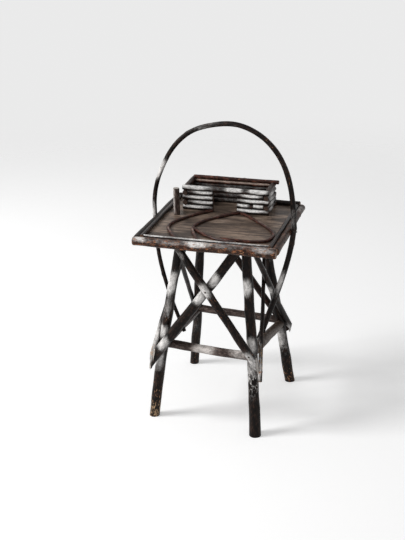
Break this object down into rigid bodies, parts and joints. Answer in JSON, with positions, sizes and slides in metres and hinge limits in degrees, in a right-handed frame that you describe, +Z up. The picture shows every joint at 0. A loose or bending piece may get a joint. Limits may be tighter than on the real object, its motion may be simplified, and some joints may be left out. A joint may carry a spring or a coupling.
{
  "type": "twig table",
  "caption": "Rustic stick table: a log-edged board tray on four braced branch legs, with a bent twig handle over it and a small open log cabin on the tray.",
  "frame": {"origin": "on the floor, under the middle of the tray", "axes": "+Z up, +X to the right, the front with the cabin's doorway faces -Y"},
  "size_m": [0.4, 0.3788, 0.7793],
  "materials": {
    "frame_bark": "dark varnished bark",
    "edge_logs": "varnished bark, worn rusty brown",
    "tray_board": "brown-grey stained board",
    "cabin_logs": "varnished twig bark",
    "twigs": "varnished mahogany-brown twig",
    "nail_iron": "dark iron nail"
  },
  "bodies": {
    "root": {"brace_nails": "nail_iron", "cabin_back_log_1": "cabin_logs", "cabin_back_log_2": "cabin_logs", "cabin_back_log_3": "cabin_logs", "cabin_back_log_4": "cabin_logs", "cabin_back_log_5": "cabin_logs", "cabin_front_corner_log_2": "cabin_logs", "cabin_front_left_log_1": "cabin_logs", "cabin_front_left_log_2": "cabin_logs", "cabin_front_left_log_3": "cabin_logs", "cabin_front_left_log_4": "cabin_logs", "cabin_front_right_log_1": "cabin_logs", "cabin_front_right_log_2": "cabin_logs", "cabin_front_right_log_3": "cabin_logs", "cabin_front_right_log_4": "cabin_logs", "cabin_left_log_1": "cabin_logs", "cabin_left_log_2": "cabin_logs", "cabin_left_log_3": "cabin_logs", "cabin_left_log_4": "cabin_logs", "cabin_left_top_log": "cabin_logs", "cabin_lintel": "cabin_logs", "cabin_ridge": "cabin_logs", "cabin_right_log_1": "cabin_logs", "cabin_right_log_2": "cabin_logs", "cabin_right_log_3": "cabin_logs", "cabin_right_log_4": "cabin_logs", "cabin_right_top_log": "cabin_logs", "edge_nails": "nail_iron", "front_edge_log": "edge_logs", "front_left_leg": "frame_bark", "front_long_brace": "frame_bark", "front_right_leg": "frame_bark", "front_rim_twig": "twigs", "front_stretcher": "frame_bark", "front_thick_brace": "frame_bark", "gate_post": "cabin_logs", "handle": "frame_bark", "handle_nails": "nail_iron", "left_edge_log": "edge_logs", "left_inner_brace": "frame_bark", "left_outer_brace": "frame_bark", "left_path_twig": "twigs", "left_pond_twig": "twigs", "left_rim_twig": "twigs", "left_stretcher": "frame_bark", "leg_nails": "nail_iron", "rear_edge_log": "edge_logs", "rear_inner_brace": "frame_bark", "rear_left_leg": "frame_bark", "rear_outer_brace": "frame_bark", "rear_right_leg": "frame_bark", "rear_stretcher": "frame_bark", "right_edge_log": "edge_logs", "right_inner_brace": "frame_bark", "right_outer_brace": "frame_bark", "right_path_twig": "twigs", "right_pond_twig": "twigs", "right_rim_twig": "twigs", "right_stretcher": "frame_bark", "tray_board": "tray_board"}
  },
  "joints": []
}
